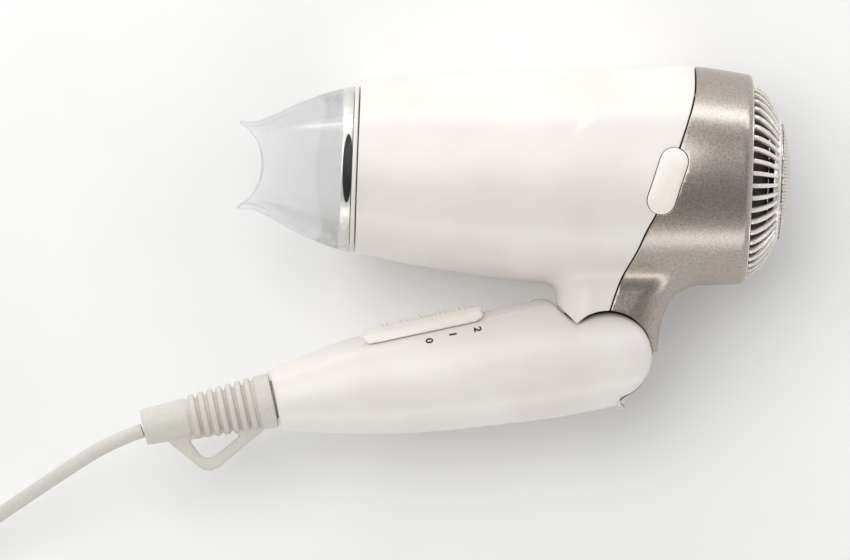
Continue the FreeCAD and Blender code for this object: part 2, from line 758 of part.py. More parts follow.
def slider_cap():
    body = new_body("slider_cap", "grip")
    section = sketch_on(body, "YZ_Plane", "sizes.slider_start")
    outline(section, [(21.2, -10.2), (25.2, -9.7), (26.4, -8.6), (26.7, -7.0), (26.7, 7.0), (26.4, 8.6),
                      (25.2, 9.7), (21.2, 10.2), (21.2, 9.0), (24.3, 9.0), (24.3, -9.0), (21.2, -9.0)])
    pad(body, section, "sizes.slider_length", "One side")
    slope = sketch_on(body, "XY_Plane")
    start = size("slider_start")
    outline(slope, [(start - 1, 28.0), (start + 3.0, 28.0), (start, 25.6), (start + 1.8, 21.0),
                    (start + 1.8, 20.0), (start - 1, 20.0)])
    pocket(body, slope, 40.0)
    ribs = sketch_on(body, "XY_Plane")
    for rib in range(5):
        for side in (-0.8, 0.8):
            circle(ribs, (start + 7.8 + 6.85 * rib + side, 26.6), 0.75)
    pad(body, ribs, 13.0)
    stem = sketch_on(body, "XY_Plane")
    rectangle(stem, (-63.0, 19.2), (-59.0, 24.6))
    pad(body, stem, 3.8)


slider_cap()
box_body("slider_carriage", "grip", (-67.0, 15.8), (-55.0, 19.2), 9.0)
box_body("switch_body", "grip", (-74.0, 4.0), (-36.0, 15.4), 15.0)
terminals = new_body("switch_terminals", "grip")
for x in (-70.0, -55.0, -40.0):
    prism(terminals, (x - 0.4, -2.0), (x + 0.4, 4.0), 4.8)
box_body("suppressor_capacitor", "grip", (-87.5, -5.0), (-75.5, 7.0), 9.0)

# ---------------------------------------------------------------- cord entry


def strain_relief():
    """Collar, seven rings and an end block on one axis, with the hang loop below."""
    body = new_body("strain_relief", "grip")
    profile = sketch_on(body, "XY_Plane", 0.0, "sizes.relief_rise")
    points = [(-111.0, 0.0), (-111.0, 7.6), (-113.5, 7.6), (-113.5, 6.5), (-117.4, 6.5),
              (-117.4, 9.7), (-122.8, 9.5)]
    for count in range(7):
        middle = -125.5 - 3.35 * count
        tall = 9.2 - 0.23 * count
        core = 7.3 - 0.18 * count
        points += [(middle + 1.35, core), (middle + 0.85, tall), (middle - 0.85, tall), (middle - 1.35, core)]
    points += [(-148.2, 7.2), (-163.9, 6.3), (-163.9, 0.0)]
    outline(profile, points)
    revolve(body, profile)
    loop = sketch_on(body, "XY_Plane")
    outline(loop, [(-156.2, 5.0), (-156.2, 1.9), (-148.4, -7.8), (-146.4, -9.9), (-143.9, -10.8),
                   (-141.0, -10.1), (-122.8, -0.6), (-122.8, 5.0)])
    pad(body, loop, "2 * sizes.loop_half")
    eye = sketch_on(body, "XY_Plane")
    outline(eye, [(-149.2, 1.4), (-146.4, -4.6), (-145.0, -5.8), (-143.0, -6.1), (-140.8, -5.5),
                  (-131.6, -0.7), (-132.4, 1.4)])
    pocket(body, eye, 20.0)


strain_relief()
clamp = new_body("cord_clamp", "grip")
prism(clamp, (-107.0, 5.0), (-101.0, 13.2), 14.0)
clamp_way = sketch_on(clamp, "YZ_Plane", -110.0)
circle(clamp_way, (size("relief_rise"), 0.0), 2.55)
pocket(clamp, clamp_way, 12.0, "One side", True)
clamp_holes = sketch_on(clamp, "XZ_Plane", -14.0)
for side in (-5.0, 5.0):
    circle(clamp_holes, (-104.0, side), 0.95)
pocket(clamp, clamp_holes, 7.0, "One side", True)
screws("clamp_screws", "grip", "XZ_Plane", [(-104.0, -5.0), (-104.0, 5.0)], -13.25, 5.8, 0.9, 1.8, True)
inner_cord = new_body("cord_end", "grip")
inner_section = sketch_on(inner_cord, "YZ_Plane", -110.95)
circle(inner_section, (size("relief_rise"), 0.0), "sizes.cord_radius")
pad(inner_cord, inner_section, 12.9, "One side")
box_body("detent_spring", "grip", (-16.8, -6.0), (-16.4, 6.0), 10.0)

# ---------------------------------------------------------------- wires and cord


def tangent_path(points, report=""):
    """Straight runs joined by arcs that are as large as the two runs allow."""
    points = [V(*point) for point in points]
    edges = []
    here = points[0]
    radii = []
    for before, corner, after in zip(points, points[1:], points[2:]):
        inward = corner - before
        outward = after - corner
        turn = inward.getAngle(outward)
        reach = 0.45 * min(inward.Length, outward.Length)
        radii.append(reach / math.tan(turn / 2))
        start = corner - inward.normalize() * reach
        end = corner + outward.normalize() * reach
        bisector = (outward - inward).normalize()
        middle = corner + bisector * (radii[-1] / math.cos(turn / 2) - radii[-1])
        edges.append(Part.LineSegment(here, start).toShape())
        edges.append(Part.Arc(start, middle, end).toShape())
        here = end
    edges.append(Part.LineSegment(here, points[-1]).toShape())
    if report:
        print(report, "arc radii:", " ".join("%.0f" % radius for radius in radii))
    return Part.Wire(edges)


def tube_along(points, radius, report=""):
    """A round tube along a route, checked against its section times its length."""
    path = tangent_path(points, report)
    heading = path.Edges[0].tangentAt(path.Edges[0].FirstParameter)
    section = Part.Wire(Part.makeCircle(radius, V(*points[0]), heading))
    shape = path.makePipeShell([section], True, False)
    expected = math.pi * radius ** 2 * path.Length
    if abs(shape.Volume - expected) > 0.01 * expected:
        raise ValueError("tube volume %.1f, expected %.1f" % (shape.Volume, expected))
    if report:
        print(report, "length: %.1f mm" % path.Length)
    return shape


BARREL_WIRE = [(90.6, -39.6), (88.6, -34.6), (80.0, -32.0), (66.0, -30.6), (50.0, -30.0)]
barrel_wires = [tube_along([(x, y, z) for x, y in BARREL_WIRE], 0.8) for z in (-1.4, 1.4)]
solid_part("barrel_wires", "duct", Part.makeCompound(barrel_wires))
MAINS_WIRE = [(-98.0, 9.1), (-90.0, 9.6), (-82.0, 9.4), (-74.9, 9.8)]
HEAD_WIRE = [(-34.9, 8.0), (-31.0, 2.0), (-24.0, -2.0), (-17.4, -3.2)]
handle_wires = [tube_along([(x, y, z) for x, y in wire], 0.8)
                for wire in (MAINS_WIRE, HEAD_WIRE) for z in (-1.4, 1.4)]
solid_part("handle_wires", "grip", Part.makeCompound(handle_wires))

cord_radius = size("cord_radius")
solid_part("cord_tube", "row", tube_along(CORD_ROUTE, cord_radius, "cord"))
solid_part("cord_tail", "row", tube_along(TAIL_ROUTE, cord_radius, "cord tail"))


def stored_coil():
    """The outer shape of the stored turns: a ring with its corners taken off."""
    inner = size("stored_middle") - size("stored_half")
    outer = size("stored_middle") + size("stored_half")
    top = size("stored_height")
    cut = cord_radius * 0.8
    corners = [(inner + cut, 0), (outer - cut, 0), (outer, cut), (outer, top - cut),
               (outer - cut, top), (inner + cut, top), (inner, top - cut), (inner, cut)]
    face = Part.Face(Part.makePolygon([V(x, 0, z) for x, z in corners + corners[:1]]))
    turned = face.revolve(V(), V(0, 0, 1), 360)
    turned.translate(V(*STORED_CENTRE, 0))
    return turned


solid_part("cord_coil", "row", stored_coil())


def coil_tie():
    """A strap round the section of the stored turns."""
    top = size("stored_height")
    half = size("stored_half")
    outer = Part.makeBox(2 * half + 3.2, 7.0, top + 1.4, V(-half - 1.6, -3.5, 0.0))
    hollow = Part.makeBox(2 * half + 1.2, 8.0, top + 0.4, V(-half - 0.6, -4.0, -0.1))
    strap = outer.cut(hollow)
    strap.translate(V(STORED_CENTRE[0] + size("stored_middle"), STORED_CENTRE[1], 0.0))
    return strap


solid_part("coil_tie", "row", coil_tie())

# ---------------------------------------------------------------- plug


def plug_placement(part):
    """The plug lies on its flat side, with its face towards +Y."""
    subparts.append(part)
    part.Placement = FreeCAD.Placement(V(*PLUG_FACE), FreeCAD.Rotation(V(0, 0, 1), 90))


def plug_part(label):
    body = doc.addObject("PartDesign::Body", label)
    body.Label = label
    body.AllowCompound = True
    plug_placement(body)
    return body


plug = plug_part("plug_body")
plug_outline = []
for along, half_wide, half_high, corner in (
    (0.0, 17.6, 12.4, 8.0), (-9.0, 17.8, 12.5, 9.0), (-20.0, 13.4, 10.6, 8.0), (-26.0, 8.6, 8.2, 6.0),
):
    section = sketch_on(plug, "YZ_Plane", along)
    rounded(section, (-half_wide, -half_high), (half_wide, half_high), corner)
    plug_outline.append(section)
loft(plug, plug_outline)
plug_guard = plug_part("plug_relief")
plug_guard_profile = sketch_on(plug_guard, "XY_Plane")
outline(plug_guard_profile, [(-26.05, 0.0), (-26.05, 5.4), (-28.0, 5.2), (-40.0, 3.5), (-40.0, 0.0)])
revolve(plug_guard, plug_guard_profile)
prongs = plug_part("plug_pins")
prong_section = sketch_on(prongs, "YZ_Plane")
for side in (-0.5, 0.5):
    circle(prong_section, (side * size("prong_pitch"), 0.0), "sizes.prong_radius")
pad(prongs, prong_section, "sizes.prong_length", "One side")

doc.recompute()


def check_document():
    """Stops on a failed object, an empty or invalid shape, or a cut that removed nothing."""
    for item in doc.Objects:
        if "Invalid" in item.State or "Error" in item.State:
            raise RuntimeError("failed: %s %s" % (item.Name, item.State))
    for part in subparts:
        if part.Shape.isNull() or not part.Shape.isValid():
            raise RuntimeError("bad shape: " + part.Label)
    for before, after in cuts:
        if after.Shape.Volume >= before.Shape.Volume - 0.01:
            raise RuntimeError("cut removed nothing: " + after.Name)


check_document()
os.makedirs("parts", exist_ok=True)
for part in subparts:
    part.Shape.exportStep("parts/" + part.Label + ".step")
print("wrote", len(subparts), "sub-parts")
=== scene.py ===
import json
import math

import bmesh
import bpy
import numpy as np
from mathutils import Matrix, Vector


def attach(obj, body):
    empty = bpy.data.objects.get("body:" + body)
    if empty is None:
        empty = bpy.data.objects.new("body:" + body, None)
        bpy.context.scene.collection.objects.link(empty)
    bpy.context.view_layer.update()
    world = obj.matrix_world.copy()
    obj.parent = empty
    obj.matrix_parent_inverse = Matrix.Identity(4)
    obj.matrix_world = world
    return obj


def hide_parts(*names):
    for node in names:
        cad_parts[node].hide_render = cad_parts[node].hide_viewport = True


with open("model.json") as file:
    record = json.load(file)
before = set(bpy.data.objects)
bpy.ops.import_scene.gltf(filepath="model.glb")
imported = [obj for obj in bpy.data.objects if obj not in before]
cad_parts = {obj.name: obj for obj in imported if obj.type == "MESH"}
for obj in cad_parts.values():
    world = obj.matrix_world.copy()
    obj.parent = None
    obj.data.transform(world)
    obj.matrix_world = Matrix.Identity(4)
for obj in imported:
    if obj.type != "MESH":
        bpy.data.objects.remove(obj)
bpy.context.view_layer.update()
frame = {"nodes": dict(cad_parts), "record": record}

# ------------------------------------------------------------------ working frames
# Pieces are drawn in millimetres in two frames: "duct", whose X is the air axis from the
# barrel's mouth, and "grip", whose origin is the hinge pin and whose X runs along the handle.

MM = 0.001
JOINTS = {joint["name"]: joint for joint in frame["record"]["behaviour"]["joints"]}
DUCT_ORIGIN = Vector(JOINTS["nozzle_turn"]["pos_m"])
PIVOT = Vector(JOINTS["handle_fold"]["pos_m"])
FAN_RISE = (JOINTS["fan_spin"]["pos_m"][1] - DUCT_ORIGIN.y) / MM
GRIP_ALONG = Vector(JOINTS["switch_slide"]["axis"])
FOLD = math.atan2(GRIP_ALONG.y, GRIP_ALONG.x)
DUCT = Matrix.Translation(DUCT_ORIGIN) @ Matrix.Scale(MM, 4)
FAN = DUCT @ Matrix.Translation((0.0, FAN_RISE, 0.0))
GRIP = Matrix.Translation(PIVOT) @ Matrix.Rotation(FOLD, 4, "Z") @ Matrix.Scale(MM, 4)
ROW = Matrix.Scale(MM, 4)
PIVOT_MM = (PIVOT - DUCT_ORIGIN) / MM

# ------------------------------------------------------------------ camera and light

PICTURE_WIDTH = 0.2975
CAMERA_REACH = 3.2
SENSOR = 36.0
ROLL = math.radians(2.14)


def make_camera():
    """Looks straight down on the dryer, turned a little so that the barrel leans as it lies."""
    data = bpy.data.cameras.new("camera")
    data.sensor_width = SENSOR
    data.lens = SENSOR * CAMERA_REACH / PICTURE_WIDTH
    camera = bpy.data.objects.new("camera", data)
    camera.location = (-0.0140, -0.0039, PIVOT.z + CAMERA_REACH)
    camera.rotation_euler = (0.0, 0.0, ROLL)
    bpy.context.scene.collection.objects.link(camera)
    bpy.context.scene.camera = camera


def link(name, mesh):
    piece = bpy.data.objects.new(name, mesh)
    bpy.context.scene.collection.objects.link(piece)
    return piece


def area_light(name, place, aim, size, watts, colour=(1.0, 1.0, 1.0)):
    data = bpy.data.lights.new(name, "AREA")
    data.shape = "RECTANGLE"
    data.size, data.size_y = size
    data.energy = watts
    data.color = colour
    lamp = bpy.data.objects.new(name, data)
    lamp.location = place
    lamp.rotation_euler = (Vector(aim) - Vector(place)).to_track_quat("-Z", "Y").to_euler()
    bpy.context.scene.collection.objects.link(lamp)


# ------------------------------------------------------------------ cord

# The free cord's route from the strain relief to the stored coil, in metres.
CORD_ROUTE = [
    (-0.1108, -0.0602, 0.0381),
    (-0.1219, -0.0647, 0.0374),
    (-0.1353, -0.0737, 0.0336),
    (-0.1508, -0.0849, 0.0262),
    (-0.1668, -0.0967, 0.0170),
    (-0.1833, -0.1093, 0.0088),
    (-0.2003, -0.1223, 0.0036),
    (-0.2168, -0.1349, 0.0026),
]
# From the stored coil to the plug's strain relief.
TAIL_ROUTE = [
    (-0.2695, -0.1092, 0.0070),
    (-0.2695, -0.0940, 0.0070),
    (-0.2666, -0.0800, 0.0082),
    (-0.2624, -0.0670, 0.0108),
    (-0.2600, -0.0540, 0.0126),
]
CORD_RADIUS = 0.0025
STORED_CENTRE = Vector((-0.2370, -0.1092, 0.0))


def stored_turns():
    """The put-away length, wound in lanes beside and on each other, from the cord to the tail."""
    outer, step = 0.0325, 2 * CORD_RADIUS
    lanes = [(0, 0), (1, 0), (2, 0), (2, 1), (1, 1), (1, 2), (0, 2), (0, 1)]
    start = math.atan2(CORD_ROUTE[-1][1] - STORED_CENTRE.y, CORD_ROUTE[-1][0] - STORED_CENTRE.x)
    turns = len(lanes) - 1 + (start + math.pi) / (2 * math.pi)
    per_turn, shift = 16, 0.4
    points = []
    for count in range(1, int(turns * per_turn)):
        turn = count / per_turn
        lane = int(turn)
        here, after = lanes[lane], lanes[min(lane + 1, len(lanes) - 1)]
        into = max(0.0, (turn - lane - 1 + shift) / shift)
        blend = into * into * (3 - 2 * into)
        ring = here[0] + (after[0] - here[0]) * blend
        layer = here[1] + (after[1] - here[1]) * blend
        angle = start - 2 * math.pi * turn
        radius = outer - ring * step
        points.append((STORED_CENTRE.x + radius * math.cos(angle),
                       STORED_CENTRE.y + radius * math.sin(angle),
                       CORD_ROUTE[-1][2] + layer * step * 0.94))
    return points


def make_cord():
    """The supply cord as one smooth curve, from the strain relief to the plug."""
    points = CORD_ROUTE + stored_turns() + TAIL_ROUTE
    curve = bpy.data.curves.new("supply_cord", "CURVE")
    curve.dimensions = "3D"
    curve.resolution_u = 6
    curve.bevel_depth = 1.0
    curve.bevel_resolution = 4
    curve.use_fill_caps = True
    spline = curve.splines.new("NURBS")
    spline.points.add(len(points) - 1)
    for point, place in zip(spline.points, points):
        point.co = (*place, 1.0)
        point.radius = CORD_RADIUS
    spline.order_u = 3
    spline.use_endpoint_u = True
    return link("supply_cord", curve)


make_camera()
cord = make_cord()
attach(cord, "handle")
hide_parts("cord_tube", "cord_coil", "cord_tail")

# ------------------------------------------------------------------ finishes


def linear(code):
    """Turns an sRGB hex colour to linear."""
    parts = [int(code[place:place + 2], 16) / 255 for place in (0, 2, 4)]
    return tuple(c / 12.92 if c <= 0.04045 else ((c + 0.055) / 1.055) ** 2.4
                 for c in parts) + (1.0,)


def add_node(tree, kind, values=None, links=None, **settings):
    """Adds a shader node with its settings, its sockets' own values and its incoming links."""
    made = tree.nodes.new(kind)
    for name, value in settings.items():
        setattr(made, name, value)
    for socket, value in (values or {}).items():
        made.inputs[socket].default_value = value
    for socket, source in (links or {}).items():
        tree.links.new(source, made.inputs[socket])
    return made


def surface(name, pair, grain, rough, bump=0.02, spread=(0.35, 0.65), detail=3.0, stretch=(1, 1, 1),
            **own):
    """A moulded, drawn or sprayed surface: two close tones in a grain of a size in millimetres,
    which also stirs the roughness and the bump. The rest are the shader's own values."""
    material = bpy.data.materials.new(name)
    material.use_nodes = True
    tree = material.node_tree
    tree.nodes.clear()
    place = add_node(tree, "ShaderNodeTexCoord")
    aligned = add_node(tree, "ShaderNodeMapping", {"Scale": stretch},
                       {"Vector": place.outputs["Object"]})
    cloud = add_node(tree, "ShaderNodeTexNoise", {"Scale": 1 / (grain * MM), "Detail": detail},
                     {"Vector": aligned.outputs["Vector"]})
    tones = add_node(tree, "ShaderNodeValToRGB", links={"Fac": cloud.outputs["Fac"]})
    for stop, (at, code) in zip(tones.color_ramp.elements, zip(spread, pair)):
        stop.position, stop.color = at, linear(code)
    stirred = add_node(tree, "ShaderNodeMapRange",
                       {"To Min": rough * 0.85, "To Max": rough * 1.2},
                       {"Value": cloud.outputs["Fac"]})
    raised = add_node(tree, "ShaderNodeBump", {"Strength": 1.0, "Distance": bump * MM},
                      {"Height": cloud.outputs["Fac"]})
    shader = add_node(tree, "ShaderNodeBsdfPrincipled", own,
                      {"Base Color": tones.outputs["Color"], "Normal": raised.outputs["Normal"],
                       "Roughness": stirred.outputs["Result"]}, name="shader")
    add_node(tree, "ShaderNodeOutputMaterial", links={"Surface": shader.outputs["BSDF"]})
    return material


def clear_edges(material):
    """Lets light straight through a clear wall that is seen face on, and keeps its turned edges,
    where the grey tint shows as painted shade.
    """
    tree = material.node_tree
    turned = add_node(tree, "ShaderNodeLayerWeight", {"Blend": 0.2})
    kept = add_node(tree, "ShaderNodeMapRange", {"To Min": 0.03, "To Max": 1.0},
                    {"Value": turned.outputs["Facing"]})
    tree.links.new(kept.outputs["Result"], tree.nodes["shader"].inputs["Alpha"])


# Grain sizes are in millimetres. Paint flakes, satin plating, spark-eroded texture, the skin of
# PVC, glass fibres, drawing marks and screen-printed ink really have a grain under about 0.3 mm,
# too fine to show, so here and below they are drawn at 0.3 to 1.5 mm.
MATERIALS = {
    # Pearl-pigmented ABS under a soft clear coat: warm milky white with broad, soft highlights, and
    # a slow 30 mm drift of tone where the pigment flowed.
    "pearl_abs": surface("pearl_abs_gloss_moulded", ("dfd9d3", "e6e1dc"), 30.0, 0.42, 0.002,
                         **{"IOR": 1.54, "Coat Weight": 0.35, "Coat Roughness": 0.22}),
    # ABS sprayed with satin aluminium paint: warm grey metal with the speckle of its flakes, which
    # are drawn 0.7 mm across so that they show.
    "satin_silver": surface("satin_aluminium_paint", ("a09890", "b5ada4"), 0.7, 0.3, 0.004,
                            (0.3, 0.7), 0.5, **{"Metallic": 1.0}),
    # ABS in a brighter satin plate, on thin vanes: near-white edges, grey flanks.
    "bright_grille": surface("bright_satin_plated_abs", ("e3ded6", "f5f1ea"), 1.2, 0.25, 0.004,
                             **{"Metallic": 0.6, "IOR": 1.5}),
    # Injection-moulded polycarbonate, drawn with a grey tint: clear where the wall is seen face on,
    # and grey at the edges where it turns away. The grey tint is painted shade standing in for the
    # dark refraction at those edges.
    "clear_polycarbonate": surface("clear_polycarbonate_painted_edge_shade", ("c6ccd2", "d2d7dc"), 9.0, 0.03,
                                   0.003, **{"IOR": 1.58, "Transmission Weight": 1.0}),
    # Extruded and moulded PVC: dull warm grey with a fine plasticised skin.
    "grey_pvc": surface("soft_pvc_moulded", ("c9c5bd", "d0ccc4"), 0.9, 0.55, 0.006,
                        **{"IOR": 1.53, "Sheen Weight": 0.1}),
    # Unpigmented ABS from a spark-eroded mould: fine even grain, soft highlight.
    "white_abs": surface("white_abs_fine_matt", ("ebe6dd", "f0ece4"), 0.6, 0.38, 0.003,
                         **{"IOR": 1.54}),
    # Glass-filled nylon: near black, dry and slightly uneven from its fibres.
    "black_heatproof": surface("black_glass_nylon", ("0c0c0d", "1a1919"), 0.6, 0.5, 0.03,
                               stretch=(1, 3, 3), **{"IOR": 1.53}),
    # Pressed mica sheet: amber-grey flakes with a silky gleam.
    "mica": surface("pressed_mica_sheet", ("6f5b3f", "a89068"), 2.4, 0.32, 0.03, (0.42, 0.58),
                    **{"IOR": 1.58, "Coat Weight": 0.3}),
    # Drawn nickel-chromium wire: dark grey metal, finely scored by the die.
    "resistance_wire": surface("drawn_nichrome_wire", ("5b5754", "7d7873"), 0.3, 0.35, 0.01,
                               **{"Metallic": 1.0}),
    # Zinc-plated mild steel: cool grey with a cloudy bloom.
    "zinc_steel": surface("zinc_plated_steel", ("a3a7aa", "c3c7c9"), 1.6, 0.3, 0.008,
                          **{"Metallic": 1.0}),
    # Turned brass under nickel: warm bright metal with faint turning marks.
    "nickel_brass": surface("nickel_plated_brass", ("bdb5a6", "d9d3c6"), 0.8, 0.18, 0.006,
                            stretch=(1, 6, 1), **{"Metallic": 1.0}),
    # Woven stainless wire, although the record's slot is an amber plastic: small bright crowns, and
    # in their gaps the dark disc behind them, which is painted shade.
    "amber_pbt": surface("woven_steel_filter", ("c6c1b9", "e0dcd5"), 0.5, 0.2, 0.01,
                         **{"Metallic": 1.0}),
    # Glass-epoxy laminate under green lacquer: dark green with a faint mottle from its cloth.
    "circuit_board": surface("green_lacquered_laminate", ("123f26", "1d5a37"), 0.6, 0.4, 0.01,
                             **{"IOR": 1.55}),
}
clear_edges(MATERIALS["clear_polycarbonate"])
# Screen-printed black ink: flat, slightly rough film on the gloss.
PRINT_INK = surface("screen_printed_black_ink", ("161514", "222120"), 0.3, 0.45, 0.004,
                    **{"IOR": 1.5})
# A dark brown sheet behind the vanes that closes the intake: painted shade standing in for the
# shaded inside of the dryer. Dull, it swallows the light.
PAINTED_SHADE_SHEET = surface("painted_shade_intake_sheet", ("24170f", "35241a"), 1.5, 0.6, 0.02, **{"IOR": 1.53})
# Painted plywood studio table: pale, dull, with no visible grain.
TABLE_TOP = surface("pale_matt_tabletop", ("f1f1f0", "f6f6f5"), 120.0, 0.9, 0.02)
cord.data.materials.append(MATERIALS["grey_pvc"])

# ------------------------------------------------------------------ making pieces


def worked(bm, *steps):
    """Applies modifiers, each given as its kind and settings, and returns the new bmesh."""
    mesh = bpy.data.meshes.new("work")
    bm.to_mesh(mesh)
    bm.free()
    piece = link("work", mesh)
    for kind, settings in steps:
        modifier = piece.modifiers.new(kind, kind)
        for name, value in settings.items():
            setattr(modifier, name, value)
    made = bmesh.new()
    made.from_object(piece, bpy.context.evaluated_depsgraph_get())
    bpy.data.objects.remove(piece)
    bpy.data.meshes.remove(mesh)
    return made


def sharp_edges(bm, least):
    """Edges where the surface turns by more than an angle in degrees."""
    return [edge for edge in bm.edges
            if len(edge.link_faces) == 2 and edge.calc_face_angle(0.0) > math.radians(least)]


def soften(bm, width, segments=2, least=35.0):
    """Rounds every sharp edge by a width in millimetres."""
    bmesh.ops.bevel(bm, geom=sharp_edges(bm, least), offset=width, segments=segments,
                    affect="EDGES", profile=0.5, material=-1, clamp_overlap=True)


def finished(name, bm, place, body, slot, *nodes, material=None, least=38.0):
    """Writes a bmesh drawn in one of the working frames as a piece that rides on a body."""
    bmesh.ops.transform(bm, matrix=place, verts=bm.verts)
    for face in bm.faces:
        face.smooth = True
    for edge in sharp_edges(bm, least):
        edge.smooth = False
    mesh = bpy.data.meshes.new(name)
    bm.to_mesh(mesh)
    bm.free()
    mesh.materials.append(material or MATERIALS[slot])
    piece = link(name, mesh)
    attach(piece, body)
    if nodes:
        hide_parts(*nodes)
    return piece


def closed(bm):
    """Merges doubled points and turns the faces outwards."""
    bmesh.ops.remove_doubles(bm, verts=bm.verts, dist=0.001)
    bmesh.ops.recalc_face_normals(bm, faces=bm.faces)
    return bm


def spun(profile, steps=96, width=0.0, segments=2):
    """A solid of revolution about X, from a profile of (place, radius) points."""
    bm = bmesh.new()
    points = [bm.verts.new((along, reach, 0.0)) for along, reach in profile]
    follow = points[1:] + (points[:1] if profile[0][1] or profile[-1][1] else [])
    for start, end in zip(points, follow):
        bm.edges.new((start, end))
    bmesh.ops.spin(bm, geom=bm.verts[:] + bm.edges[:], axis=(1, 0, 0), cent=(0, 0, 0),
                   angle=2 * math.pi, steps=steps, use_merge=True)
    closed(bm)
    if width:
        soften(bm, width, segments)
    return bm


def extruded(points, depth, width=0.0, segments=2, hole=None):
    """A plate of an outline in XY, of an even depth about Z zero, with softened edges."""
    bm = bmesh.new()
    rim = [bm.verts.new((x, y, -depth / 2)) for x, y in points]
    edges = [bm.edges.new(pair) for pair in zip(rim, rim[1:] + rim[:1])]
    if hole:
        inner = [bm.verts.new((x, y, -depth / 2)) for x, y in hole]
        edges += [bm.edges.new(pair) for pair in zip(inner, inner[1:] + inner[:1])]
        bmesh.ops.triangle_fill(bm, use_beauty=True, edges=edges)
    else:
        bm.faces.new(rim)
    flat = bmesh.ops.extrude_face_region(bm, geom=bm.faces[:])
    lifted = [item for item in flat["geom"] if isinstance(item, bmesh.types.BMVert)]
    bmesh.ops.translate(bm, vec=(0, 0, depth), verts=lifted)
    closed(bm)
    if width:
        soften(bm, width, segments)
    return bm


def joined(target, *others):
    """Adds other bmeshes to the first."""
    for other in others:
        mesh = bpy.data.meshes.new("joined")
        other.to_mesh(mesh)
        other.free()
        target.from_mesh(mesh)
        bpy.data.meshes.remove(mesh)
    return target


def ring_across(along, rise, high, wide):
    """Takes a unit circle to an oval across X."""
    return Matrix(((0, 0, 1, along), (high, 0, 0, rise), (0, wide, 0, 0), (0, 0, 0, 1)))


def lofted(rings, segments=64, capped=True, square=None):
    """Bridges ovals from one end to the other. Each may be squared towards a rounded oblong."""
    bm = bmesh.new()
    loops = []
    for count, matrix in enumerate(rings):
        made = bmesh.ops.create_circle(bm, segments=segments, radius=1.0)["verts"]
        if square is not None:
            for vert in made:
                power = 2.0 / square[count]
                vert.co = [math.copysign(abs(c) ** power, c) if c else 0.0 for c in vert.co]
        bmesh.ops.transform(bm, matrix=matrix, verts=made)
        loops.append(list(dict.fromkeys(edge for vert in made for edge in vert.link_edges)))
    for low, high in zip(loops, loops[1:]):
        bmesh.ops.bridge_loops(bm, edges=low + high)
    if capped:
        for end in (loops[0], loops[-1]):
            bmesh.ops.edgeloop_fill(bm, edges=end)
    return closed(bm)


# ------------------------------------------------------------------ flowing shells
# The blended shells are drawn rough, remeshed evenly, and each point is then moved onto the
# surface where a field, a signed distance in millimetres, is zero.


def flowing(table, at):
    """The columns of a table between its rows, on curves that are smooth through each row."""
    rows = np.array(table, float)
    places = rows[:, 0]
    at = np.clip(at, places[0], places[-1])
    step = np.clip(np.searchsorted(places, at, side="right") - 1, 0, len(places) - 2)
    run = places[step + 1] - places[step]
    t = (at - places[step]) / run
    made = []
    for values in rows.T[1:]:
        slopes = np.gradient(values, places)
        made.append(values[step] * (1 + 2 * t) * (1 - t) ** 2
                    + slopes[step] * run * t * (1 - t) ** 2
                    + values[step + 1] * t * t * (3 - 2 * t)
                    + slopes[step + 1] * run * t * t * (t - 1))
    return made


def soft_union(first, second, reach):
    near = np.maximum(reach - np.abs(first - second), 0.0) / reach
    return np.minimum(first, second) - near * near * reach / 4


def soft_common(first, second, reach):
    return -soft_union(-first, -second, reach)


def ramp(value):
    """Zero below zero, one above one, and smooth between."""
    value = np.clip(value, 0.0, 1.0)
    return value * value * (3 - 2 * value)


def slope_of(points, field):
    small = 0.02
    return np.stack([(field(points + push) - field(points - push)) / (2 * small)
                     for push in np.eye(3) * small], axis=1)


def settled(points, field, rounds=7):
    """Moves points onto the surface where the field is zero."""
    for _ in range(rounds):
        slope = slope_of(points, field)
        steep = np.maximum((slope ** 2).sum(axis=1), 0.25)
        points = points - slope * (field(points) / steep)[:, None]
    return points


def skin(rough, field, grain):
    """An even skin on the field's surface, from a rough solid near it."""
    bm = worked(rough, ("REMESH", {"mode": "VOXEL", "voxel_size": grain, "adaptivity": 0.0}))
    points = settled(np.array([vert.co for vert in bm.verts]), field)
    for vert, point in zip(bm.verts, points):
        vert.co = point
    bm.normal_update()
    return bm


def cut_along(bm, field, snap=0.3):
    """Splits a skin where a field is zero and takes away the side where it is positive."""
    points = np.array([vert.co for vert in bm.verts])
    values = field(points)
    near = np.flatnonzero(np.abs(values) < snap)
    verts = list(bm.verts)
    ready = []
    if len(near):
        slope = slope_of(points[near], field)
        normals = np.array([verts[index].normal for index in near])
        slope -= normals * (slope * normals).sum(axis=1)[:, None]
        steep = (slope ** 2).sum(axis=1)
        for index, way, flat in zip(near, slope, steep):
            if flat > 0.2:
                verts[index].co = points[index] - way * values[index] / flat
                values[index] = 0.0
                ready.append(verts[index])
    value_of = dict(zip(verts, values))
    for edge in list(bm.edges):
        low, high = edge.verts
        if value_of[low] * value_of[high] < 0:
            share = value_of[low] / (value_of[low] - value_of[high])
            _, fresh = bmesh.utils.edge_split(edge, low, share)
            ready.append(fresh)
            value_of[fresh] = 0.0
    bmesh.ops.connect_verts(bm, verts=ready)
    middles = np.array([face.calc_center_median() for face in bm.faces])
    doomed = [face for face, value in zip(list(bm.faces), field(middles)) if value > 0]
    bmesh.ops.delete(bm, geom=doomed, context="FACES")
    return bm


def walled(bm, wall, edge_round):
    """Gives a cut skin its wall, inwards, and rounds the edges that this makes."""
    return worked(bm, ("SOLIDIFY", {"thickness": wall, "offset": -1.0, "use_even_offset": False}),
                  ("BEVEL", {"width": edge_round, "segments": 2, "limit_method": "ANGLE",
                             "angle_limit": math.radians(50), "use_clamp_overlap": False}))


# Barrel: place along the duct, radius, and centre above the air axis.
BARREL = [(2.2, 30.4, 1.3), (14.0, 32.2, 0.8), (32.0, 34.2, 0.3), (70.0, 37.5, 0.0),
          (100.0, 38.1, 1.0), (119.0, 38.0, 1.6), (138.4, 36.2, 1.2)]
